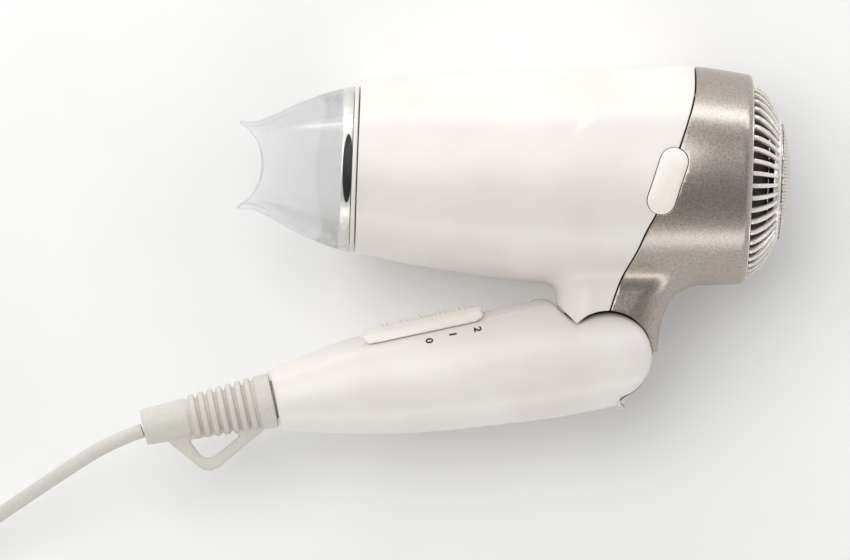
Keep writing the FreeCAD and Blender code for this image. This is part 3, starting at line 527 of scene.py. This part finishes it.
# Neck: depth below the air axis, front and rear faces, half width.
NECK = [(25.0, 70.8, 130.0, 18.0), (31.0, 71.4, 123.0, 17.6), (37.0, 72.4, 117.4, 17.0),
        (41.0, 73.2, 113.4, 16.8), (47.0, 72.9, 110.8, 16.6), (63.0, 73.4, 108.9, 16.0)]
NECK_CORNER = 12.0
MOUTH, RIM = 2.2, 138.9
# Seam between the shells: height, then place along the duct.
SEAM = [(-60.0, 87.9), (-46.4, 91.7), (-35.3, 95.2), (-24.5, 100.6), (-17.6, 103.4),
        (-12.1, 106.2), (0.6, 110.2), (13.4, 114.0), (21.0, 116.2), (30.0, 118.2), (44.0, 118.4)]
SEAM_GAP = 0.5
# Soft crease over the shoulder: height, then place along the duct.
CREASE = [(0.0, 63.0), (6.5, 70.2), (17.4, 79.2), (26.9, 89.4), (35.0, 99.6), (39.8, 107.4)]
CREASE_RISE, CREASE_WIDE = 0.8, 2.2
RIM_ROLL, RIM_TUCK = 2.2, 1.9
# Round seat in the neck for the handle's head.
SOCKET = 15.8
BUTTON_ENDS = ((111.6, 6.3), (107.7, -7.3))
BUTTON_RADIUS, BUTTON_GAP = 4.8, 0.25
BARREL_WALL, HANDLE_WALL = 2.0, 2.2


def barrel_field(points):
    """Tapered barrel with the crease over its shoulder and its rim rolled in."""
    x, y, z = points.T
    radius, lift = flowing(BARREL, x)
    past = x - flowing(CREASE, y)[0]
    raised = CREASE_RISE * ramp(past / CREASE_WIDE + 0.5) * ramp((y - 4.0) / 20.0)
    rolled = np.clip((x - RIM + RIM_ROLL) / RIM_ROLL, 0.0, 0.999)
    radius = radius + raised - RIM_TUCK * (1 - np.sqrt(1 - rolled ** 2))
    return np.hypot(y - lift, z) - radius


def neck_field(points):
    """Neck that the handle hangs from, an oblong with rounded corners at each depth."""
    x, y, z = points.T
    fore, aft, half = flowing(NECK, -y)
    across = np.abs(x - (fore + aft) / 2) - (aft - fore) / 2 + NECK_CORNER
    deep = np.abs(z) - half + NECK_CORNER
    outside = np.hypot(np.maximum(across, 0), np.maximum(deep, 0))
    return outside + np.minimum(np.maximum(across, deep), 0) - NECK_CORNER


def body_field(points):
    """Barrel and neck, flowing into each other."""
    x, y, _ = points.T
    tube = np.maximum(barrel_field(points), np.maximum(-3.0 - x, x - 143.0))
    column = np.maximum(neck_field(points), np.maximum(y + 20.0, -68.0 - y))
    return soft_union(tube, column, 5.0)


def button_way(points):
    """Positive inside the side button's opening, on the near side only."""
    x, y, z = points.T
    start, end = np.array(BUTTON_ENDS)
    run = end - start
    share = ((x - start[0]) * run[0] + (y - start[1]) * run[1]) / (run @ run)
    share = np.clip(share, 0.0, 1.0)
    away = np.hypot(x - start[0] - share * run[0], y - start[1] - share * run[1])
    return np.where(z > 15.0, BUTTON_RADIUS + BUTTON_GAP - away, -1.0)


def body_cuts(side):
    """The fields that trim the shell on one side of the seam: -1 is the front."""
    px, py = PIVOT_MM.x, PIVOT_MM.y

    def seam(points):
        x, y, _ = points.T
        return -side * (x - flowing(SEAM, y)[0]) + SEAM_GAP / 2

    def socket(points):
        return SOCKET - np.hypot(points[:, 0] - px, points[:, 1] - py)

    def end(points):
        x, y, _ = points.T
        if side < 0:
            return np.minimum(-0.674 * (x - px + 11.5) - 0.739 * (y - py - 11.0), -39.5 - y)
        return 0.122 * (x - px - 8.0) - 0.993 * (y - py - 1.0)

    def lip(points):
        return MOUTH - points[:, 0] if side < 0 else points[:, 0] - RIM

    return seam, socket, end, lip, button_way


def make_shells():
    """Front and rear casings, cut from one skin along their seam."""
    along = np.linspace(-3.0, 143.0, 36)
    tube = lofted([ring_across(x, *(float(v) for v in (lift, radius, radius)))
                   for x, radius, lift in zip(along, *flowing(BARREL, along))])
    column = lofted([Matrix((((aft - fore) / 2, 0, 0, (fore + aft) / 2), (0, 0, 1, -depth),
                             (0, half, 0, 0), (0, 0, 0, 1)))
                     for depth, fore, aft, half in [(20.0, 71.4, 123.0, 17.6)] + NECK[1:]
                     + [(68.0, 73.4, 108.9, 16.0)]], square=[3.0] * 7)
    whole = skin(joined(tube, column), body_field, 1.1)
    for name, side, slot in (("front_casing", -1, "pearl_abs"), ("rear_casing", 1, "satin_silver")):
        bm = whole.copy()
        for field in body_cuts(side):
            cut_along(bm, field)
        bm = walled(bm, BARREL_WALL, 0.3)
        node = "front_shell" if side < 0 else "rear_shell"
        finished(name, bm, DUCT, "barrel", slot, node)
    whole.free()


# Handle: place along it, centre above the pin, half height, half width.
GRIP_SECTIONS = [(-117.5, 8.8, 10.9, 10.5), (-105.0, 8.4, 13.5, 12.2), (-88.0, 7.6, 16.9, 14.2),
                 (-66.0, 5.9, 19.1, 15.6), (-44.0, 4.7, 20.2, 16.4), (-20.0, 3.5, 21.0, 16.6),
                 (1.4, 1.6, 19.4, 16.6), (16.0, 0.4, 18.6, 16.6)]
HEAD_RADIUS = 15.3
HANDLE_END = -116.9
KNUCKLE_WAY, KNUCKLE_HALF = 16.0, 7.1


def grip_field(points):
    """Handle: an oval arm with a round head on the pin, notched under the neck."""
    x, y, z = points.T
    lift, high, wide = flowing(GRIP_SECTIONS, x)
    oval = (np.sqrt(((y - lift) / high) ** 2 + (z / wide) ** 2) - 1) * np.minimum(high, wide)
    notch = 0.813 * (x + 8.24) + 0.582 * (y - 12.89)
    arm = np.maximum(notch, x - 1.4)
    head = np.hypot(x, y) - HEAD_RADIUS
    plan = np.minimum(arm, head)
    bowed = HANDLE_END - x + 0.005 * z ** 2
    return soft_common(soft_common(oval, plan, 1.6), bowed, 0.8)


SCREW_WAYS = ((-93.0, 1.0), (-29.0, 8.0))
SCREW_WAY_RADIUS = 3.0


def handle_cuts(side):
    """The fields that trim the half of the handle on one side: 1 is the near one."""
    def split(points):
        return 0.06 - side * points[:, 2]

    def cord_way(points):
        x, y, z = points.T
        return np.where(x < -112.0, 6.75 - np.hypot(y - 9.1, z), -1.0)

    def slot(points):
        round_pin = KNUCKLE_WAY - np.hypot(points[:, 0], points[:, 1])
        between = KNUCKLE_HALF - np.abs(points[:, 2])
        return np.where(np.abs(points[:, 2]) < 30, np.minimum(round_pin, between), -1)

    def screw_ways(points):
        ways = [SCREW_WAY_RADIUS - np.hypot(points[:, 0] - x, points[:, 1] - y)
                for x, y in SCREW_WAYS]
        return np.where(points[:, 2] < -3, np.maximum(*ways), -1.0)

    return (split, cord_way, slot) + ((screw_ways,) if side < 0 else ())


def make_handle():
    """Both halves of the handle, with the flat seat that the slider runs on."""
    along = np.linspace(-117.5, 16.0, 30)
    rings = [ring_across(x, float(lift), float(high), float(wide))
             for x, lift, high, wide in zip(along, *flowing(GRIP_SECTIONS, along))]
    whole = skin(lofted(rings), grip_field, 0.9)
    seat = extruded([(-83.4, 20.9), (-22.2, 20.9), (-22.2, 34.0), (-83.4, 34.0)], 50.0)
    keep = extruded([(-83.6, 20.0), (-22.0, 20.0), (-22.0, 24.0), (-83.6, 24.0)], 17.4)
    seat_mesh, keep_mesh = (bpy.data.meshes.new(name) for name in ("seat", "keep"))
    seat.to_mesh(seat_mesh)
    keep.to_mesh(keep_mesh)
    cutter, spared = link("seat", seat_mesh), link("keep", keep_mesh)
    step = cutter.modifiers.new("keep", "BOOLEAN")
    step.object, step.operation, step.solver = spared, "DIFFERENCE", "EXACT"
    for name, side in (("handle_half_near", 1), ("handle_half_far", -1)):
        bm = whole.copy()
        for field in handle_cuts(side):
            cut_along(bm, field)
        bm = worked(bm, ("SOLIDIFY", {"thickness": HANDLE_WALL, "offset": -1.0,
                                  "use_even_offset": False}),
                    ("BOOLEAN", {"object": cutter, "operation": "DIFFERENCE", "solver": "EXACT"}))
        bmesh.ops.remove_doubles(bm, verts=bm.verts, dist=0.01)
        node = "handle_shell_near" if side > 0 else "handle_shell_far"
        finished(name, bm, GRIP, "handle", "pearl_abs", node)
    whole.free()
    seat.free()
    keep.free()
    for piece in (cutter, spared):
        bpy.data.objects.remove(piece)


# ------------------------------------------------------------------ clear nozzle

# Nozzle: place along the duct, half height, half width, and how square the oval is.
NOZZLE = [(-39.6, 15.6, 10.4, 3.2), (-34.5, 15.6, 12.0, 3.0), (-28.5, 17.9, 15.0, 2.7),
          (-21.0, 21.8, 19.2, 2.4), (-14.5, 24.6, 22.8, 2.2), (-8.0, 27.0, 26.2, 2.05),
          (0.2, 29.0, 29.0, 2.0), (2.0, 29.2, 29.2, 2.0)]
LIP_PLACE, LIP_RADIUS = -31.6, 19.1
NOZZLE_WALL = 1.5
# Oval window in the trim ring: place along the duct, half height, half width.
WINDOW_PLACE, WINDOW_HIGH, WINDOW_WIDE = -1.3, 12.0, 1.7
TRIM_RADIUS = 26.4


def make_nozzle():
    """Clear concentrator with a hollowed lip, its foot ring, and the trim ring that it turns on."""
    along = np.linspace(NOZZLE[0][0], 1.9, 40)
    high, wide, square = flowing(NOZZLE, along)
    rings = [ring_across(x, 0.0, float(h), float(w)) for x, h, w in zip(along, high, wide)]
    bm = lofted(rings, segments=128, capped=False, square=square)
    cut_along(bm, lambda points: LIP_RADIUS - np.hypot(points[:, 0] - LIP_PLACE + LIP_RADIUS,
                                                       points[:, 1]))
    bm = walled(bm, NOZZLE_WALL, 0.45)
    finished("clear_nozzle", bm, DUCT, "nozzle", "clear_polycarbonate", "nozzle")
    foot = spun([(0.3, 27.7), (0.3, 28.9), (1.8, 28.9), (1.8, 27.7)], 128, 0.3)
    finished("nozzle_foot_ring", foot, DUCT, "nozzle", "white_abs")
    trim = lofted([ring_across(float(x), 0.0, TRIM_RADIUS, TRIM_RADIUS)
                   for x in np.linspace(-3.4, 0.1, 12)], segments=160, capped=False)
    cut_along(trim, lambda points: 1.0 - (points[:, 1] / WINDOW_HIGH) ** 2
              - ((points[:, 0] - WINDOW_PLACE) / WINDOW_WIDE) ** 2, 0.1)
    finished("mouth_trim_ring", walled(trim, 0.4, 0.12), DUCT, "barrel", "bright_grille")


# ------------------------------------------------------------------ intake

VANES = 48
DOME = [(139.4, 33.9), (141.3, 32.9), (143.1, 31.4), (144.9, 29.3), (146.5, 26.9), (147.9, 24.2),
        (149.0, 21.2)]


def make_intake():
    """Domed grille of radial vanes, with a dark sheet of painted shade behind them."""
    inner = [(138.6, 32.4), (140.4, 31.5), (142.0, 30.1), (143.6, 28.2), (145.1, 25.9),
             (146.3, 23.6), (147.2, 21.0)]
    vane = extruded(DOME + inner[::-1], 1.6, 0.45, 2)
    for vert in vane.verts:
        vert.co.z *= 0.7 + 0.3 * ramp((vert.co.y - 21.2) / 9.0)
    turned = Matrix.Rotation(math.pi / VANES, 4, "X")
    bmesh.ops.transform(vane, matrix=turned, verts=vane.verts)
    bmesh.ops.spin(vane, geom=vane.verts[:] + vane.edges[:] + vane.faces[:], axis=(1, 0, 0),
                   cent=(0, 0, 0), angle=2 * math.pi * (VANES - 1) / VANES, steps=VANES - 1,
                   use_duplicate=True, use_merge=False)
    rim = spun([(134.0, 31.9), (134.0, 33.9), (139.2, 33.9), (139.2, 31.9)], width=0.4)
    hub = spun([(146.9, 20.2), (146.9, 21.9), (149.1, 21.7), (149.6, 20.4)], width=0.3)
    # A dark sheet just behind the vanes that closes the intake: painted shade.
    painted_sheet = spun([(134.5, 31.2), (138.0, 29.8), (141.0, 27.0), (143.6, 22.6), (145.0, 19.0),
                  (144.4, 19.0), (143.0, 22.4), (140.6, 26.4), (137.6, 29.2), (134.5, 30.6)])
    finished("intake_vanes", joined(vane, rim, hub), FAN, "barrel", "bright_grille",
             "intake_grille")
    finished("intake_painted_shade_sheet", painted_sheet, FAN, "barrel", "black_heatproof", material=PAINTED_SHADE_SHEET)


def dome_at(reach):
    """Place along the duct of the filter's dome at a distance from the axis."""
    return 149.7 + 3.3 * (1 - (reach / 20.6) ** 2)


def make_filter():
    """Woven wire over the middle of the intake, on a dark disc of painted shade that closes it. The
    real wires are finer and closer. They are drawn 0.62 mm thick, 1.7 mm apart, so that the weave
    shows."""
    cells, pitch = 26, 1.7
    bm = bmesh.new()
    bmesh.ops.create_grid(bm, x_segments=cells, y_segments=cells, size=cells * pitch / 2)
    bmesh.ops.rotate(bm, verts=bm.verts, cent=(0, 0, 0),
                     matrix=Matrix.Rotation(math.pi / 4, 3, "Z"))
    cut_along(bm, lambda points: np.hypot(points[:, 0], points[:, 1]) - 20.4, 0.35)
    for vert in bm.verts:
        reach = vert.co.xy.length
        vert.co = (dome_at(reach), vert.co.x, vert.co.y)
    bm = worked(bm, ("WIREFRAME", {"thickness": 0.62, "use_even_offset": False, "offset": 0.0}))
    # A dark disc behind the wire that closes the middle of the intake: painted shade.
    painted_disc = spun([(146.6, 0.0), (146.6, 20.2), (148.4, 20.5), (149.3, 17.0), (150.6, 10.0),
                    (151.2, 0.0)], 64)
    finished("filter_mesh", bm, FAN, "barrel", "amber_pbt", "filter_cap")
    finished("filter_painted_shade_disc", painted_disc, FAN, "barrel", "black_heatproof")


# ------------------------------------------------------------------ controls

SLIDER = (-82.1, -39.6)


def make_slider():
    """Slider cap with five pairs of ribs and a wedge along its flank."""
    start, end = SLIDER
    side = [(start + 1.6, 21.3), (start + 0.1, 24.2), (start + 1.2, 26.0), (start + 3.4, 26.7),
            (end - 1.6, 26.7), (end - 0.2, 25.9), (end, 23.4), (end - 3.2, 21.3)]
    bm = extruded(side, 20.4)
    bmesh.ops.subdivide_edges(bm, edges=[edge for edge in bm.edges
                                         if abs(edge.verts[0].co.z - edge.verts[1].co.z) > 5],
                              cuts=9)
    for vert in bm.verts:
        rise = (vert.co.y - 21.3) / 5.4
        vert.co.z *= 1.0 - 0.13 * rise
        vert.co.y -= 2.2 * (abs(vert.co.z) / 9.0) ** 6 * rise
    soften(bm, 0.5, 2, 30)
    for rib in range(5):
        for step in (-0.95, 0.95):
            middle = start + 7.8 + 6.85 * rib + step
            ridge = bmesh.new()
            bmesh.ops.create_uvsphere(ridge, u_segments=16, v_segments=10, radius=1.0)
            for vert in ridge.verts:
                vert.co.z = math.copysign(abs(vert.co.z) ** 0.35, vert.co.z)
            bmesh.ops.scale(ridge, vec=(0.62, 1.0, 6.6), verts=ridge.verts)
            bmesh.ops.translate(ridge, vec=(middle, 26.6, 0.0), verts=ridge.verts)
            joined(bm, ridge)
    flank = extruded([(start + 2.4, 21.2), (end - 3.0, 21.2), (end - 0.3, 22.2), (end + 0.1, 23.9),
                      (start + 14.0, 22.0)], 20.9, 0.4, 3)
    joined(bm, flank)
    finished("speed_slider", bm, GRIP, "slider", "white_abs", "slider_cap")


def make_button():
    """Pill-shaped push button, crowned to follow the barrel."""
    (ax, ay), (bx, by) = BUTTON_ENDS
    lean = math.atan2(by - ay, bx - ax)
    outline = [(x + BUTTON_RADIUS * math.cos(lean + math.radians(turn)),
                y + BUTTON_RADIUS * math.sin(lean + math.radians(turn)))
               for (x, y), first in ((BUTTON_ENDS[1], -90), (BUTTON_ENDS[0], 90))
               for turn in range(first, first + 181, 10)]
    bm = bmesh.new()
    top = bm.faces.new([bm.verts.new((x, y, 32.0)) for x, y in outline])
    lifted = bmesh.ops.extrude_face_region(bm, geom=[top])["geom"]
    crown = [item for item in lifted if isinstance(item, bmesh.types.BMFace)]
    bmesh.ops.translate(bm, vec=(0, 0, 6.9),
                        verts=[item for item in lifted if isinstance(item, bmesh.types.BMVert)])
    inner = crown
    for thick, deep in ((0.35, 0.28), (0.5, 0.2), (0.9, 0.12), (1.2, 0.06), (1.2, 0.0)):
        bmesh.ops.inset_region(bm, faces=inner, thickness=thick, depth=deep, use_even_offset=True)
    for vert in bm.verts:
        if vert.co.z > 35:
            drop = 38.9 - math.sqrt(38.9 ** 2 - (vert.co.y - 1.4) ** 2)
            vert.co.z -= drop + 0.66
    closed(bm)
    finished("side_push_button", bm, DUCT, "button", "white_abs", "side_button")


def make_scale():
    """The digits 0, 1 and 2 printed beside the slider."""
    for digit, place in (("0", (-59.9, 18.1)), ("1", (-51.4, 18.6)), ("2", (-42.6, 18.5))):
        text = bpy.data.curves.new("digit", "FONT")
        text.body = digit
        text.size = 3.5
        text.align_x, text.align_y = "CENTER", "CENTER"
        text.offset = 0.12
        holder = link("digit", text)
        bm = bmesh.new()
        bm.from_mesh(bpy.data.meshes.new_from_object(
            holder.evaluated_get(bpy.context.evaluated_depsgraph_get())))
        bpy.data.objects.remove(holder)
        turn = Matrix.Translation((*place, 0)) @ Matrix.Rotation(math.radians(-92), 4, "Z")
        bmesh.ops.transform(bm, matrix=turn, verts=bm.verts)
        bmesh.ops.subdivide_edges(bm, edges=bm.edges, cuts=1)
        points = np.array([vert.co for vert in bm.verts])
        points[:, 2] = 8.0
        for _ in range(12):
            points[:, 2] -= grip_field(points) / np.maximum(slope_of(points, grip_field)[:, 2], 0.2)
        for vert, point in zip(bm.verts, points):
            vert.co = point + np.array((0.0, 0.02, 0.03))
        bm.normal_update()
        bm = worked(bm, ("SOLIDIFY", {"thickness": 0.05, "offset": 0.0}))
        finished("scale_digit_" + digit, bm, GRIP, "handle", "black_heatproof", material=PRINT_INK)


# ------------------------------------------------------------------ cord entry, tie and plug

RELIEF_RISE = 9.1


def make_relief():
    """Collar, seven rounded rings and an end block, with the three-cornered hang loop."""
    profile = [(-111.0, 0.0), (-111.0, 7.6), (-113.5, 7.6), (-113.5, 6.5), (-117.4, 6.5),
               (-117.4, 9.7), (-122.8, 9.5)]
    for count in range(7):
        middle, tall, core = -125.5 - 3.35 * count, 9.3 - 0.23 * count, 7.2 - 0.18 * count
        profile += [(middle + 1.3, core), (middle + 1.05, tall), (middle - 0.85, tall),
                    (middle - 1.35, core)]
    profile += [(-148.2, 7.2), (-163.9, 6.3), (-163.9, 0.0)]
    bm = spun(profile, 96, 0.45, 3)
    bmesh.ops.translate(bm, vec=(0, RELIEF_RISE, 0), verts=bm.verts)
    loop = extruded([(-156.2, 5.0), (-156.2, 1.9), (-148.4, -7.8), (-146.4, -9.9), (-143.9, -10.8),
                     (-141.0, -10.1), (-122.8, -0.6), (-122.8, 5.0)], 5.2, 0.9, 3,
                    [(-149.2, 1.4), (-146.4, -4.6), (-145.0, -5.8), (-143.0, -6.1),
                     (-140.8, -5.5), (-131.6, -0.7), (-132.4, 1.4)])
    bm = worked(joined(bm, loop), ("REMESH", {"mode": "VOXEL", "voxel_size": 0.36}))
    bmesh.ops.smooth_vert(bm, verts=bm.verts, factor=0.5, use_axis_x=True, use_axis_y=True,
                          use_axis_z=True)
    finished("cord_strain_relief", bm, GRIP, "handle", "grey_pvc", "strain_relief", least=180)


def make_strap():
    """A black nylon strap round the section of the stored turns, with its button end."""
    points = [(-9.0, 1.2), (-9.0, 13.8), (-7.4, 15.6), (7.4, 15.6), (9.0, 13.8), (9.0, 1.2),
              (7.6, 0.1), (-7.6, 0.1)]
    hollow = [(-8.1, 1.4), (-8.1, 13.5), (-7.0, 14.8), (7.0, 14.8), (8.1, 13.5), (8.1, 1.4),
              (7.2, 0.7), (-7.2, 0.7)]
    bm = extruded(points, 7.0, 0.25, 2, hollow)
    knob = spun([(14.9, 0.0), (14.9, 2.6), (16.0, 2.6), (16.0, 0.0)], 32, 0.35)
    bmesh.ops.rotate(knob, verts=knob.verts, cent=(0, 0, 0),
                     matrix=Matrix.Rotation(math.pi / 2, 3, "Z"))
    joined(bm, knob)
    turn = Matrix.Translation((-209.5, -109.2, 0.0)) @ Matrix.Rotation(math.pi / 2, 4, "X")
    finished("coil_strap", bm, ROW @ turn, "handle", "black_heatproof", "coil_tie")


PLUG = Matrix.Translation((-260.0, -14.0, 12.6)) @ Matrix.Rotation(math.pi / 2, 4, "Z")


def make_plug():
    """Plug with two round pins, and the ringed guard where the cord enters it."""
    rings = [(0.0, 17.3, 12.1, 2.6), (-1.2, 17.7, 12.5, 2.6), (-9.0, 17.8, 12.5, 2.6),
             (-14.5, 16.6, 12.0, 2.5), (-20.0, 13.4, 10.6, 2.4), (-24.5, 9.6, 8.7, 2.2),
             (-26.0, 8.3, 7.8, 2.1)]
    bm = lofted([ring_across(x, 0.0, half, high) for x, half, high, _ in rings],
                square=[row[3] for row in rings])
    soften(bm, 0.6, 2, 40)
    guard = [(-26.05, 0.0), (-26.05, 5.4)]
    for count in range(5):
        middle, tall = -28.6 - 2.4 * count, 5.2 - 0.34 * count
        guard += [(middle + 0.9, tall - 0.7), (middle + 0.6, tall), (middle - 0.6, tall),
                  (middle - 0.9, tall - 0.7)]
    guard += [(-40.0, 3.3), (-40.0, 0.0)]
    finished("plug_casing", bm, ROW @ PLUG, "handle", "grey_pvc", "plug_body")
    finished("plug_bend_guard", spun(guard, 48, 0.25), ROW @ PLUG, "handle", "grey_pvc",
             "plug_relief")
    pins = bmesh.new()
    for side in (-9.5, 9.5):
        pin = spun([(-2.0, 0.0), (-2.0, 2.4), (17.6, 2.4), (19.0, 1.3), (19.0, 0.0)], 40, 0.4, 3)
        bmesh.ops.translate(pin, vec=(0, side, 0), verts=pin.verts)
        joined(pins, pin)
    finished("plug_prongs", pins, ROW @ PLUG, "handle", "nickel_brass", "plug_pins")

# ------------------------------------------------------------------ table and light


def make_studio():
    """Pale table, an even white surround that is dimmer overhead, and three softboxes."""
    bm = bmesh.new()
    bmesh.ops.create_grid(bm, x_segments=8, y_segments=8, size=4.0)
    mesh = bpy.data.meshes.new("tabletop")
    bm.to_mesh(mesh)
    bm.free()
    mesh.materials.append(TABLE_TOP)
    link("tabletop", mesh)
    world = bpy.data.worlds.new("soft_white_studio")
    bpy.context.scene.world = world
    world.use_nodes = True
    tree = world.node_tree
    tree.nodes.clear()
    place = add_node(tree, "ShaderNodeTexCoord")
    lie = add_node(tree, "ShaderNodeVectorMath", {1: (0.0, 0.12, -0.62)},
                   {0: place.outputs["Generated"]}, operation="DOT_PRODUCT")
    level = add_node(tree, "ShaderNodeMath", {1: 0.95}, {0: lie.outputs["Value"]}, operation="ADD")
    glow = add_node(tree, "ShaderNodeBackground", {"Strength": 1.0},
                    {"Color": level.outputs["Value"]})
    add_node(tree, "ShaderNodeOutputWorld", links={"Surface": glow.outputs["Background"]})
    area_light("softbox_back", (0.0, 1.0, 0.38), (0.0, 0.0, 0.03), (1.8, 0.32), 4.8)
    area_light("softbox_top", (-0.5, 0.5, 1.6), (0.0, 0.0, 0.03), (1.6, 1.2), 14.0)
    area_light("softbox_front", (0.1, -1.0, 0.45), (0.0, 0.0, 0.03), (1.4, 0.3), 2.4)
    bpy.context.scene.view_settings.view_transform = "Standard"


make_shells()
make_handle()
make_nozzle()
make_intake()
make_filter()
make_slider()
make_button()
make_scale()
make_relief()
make_strap()
make_plug()
make_studio()

for node_name, item in frame["nodes"].items():
    slot_name = next(row["material_slot"] for row in frame["record"]["subparts"]
                     if row["node"] == node_name)
    item.data.materials.clear()
    item.data.materials.append(MATERIALS[slot_name])
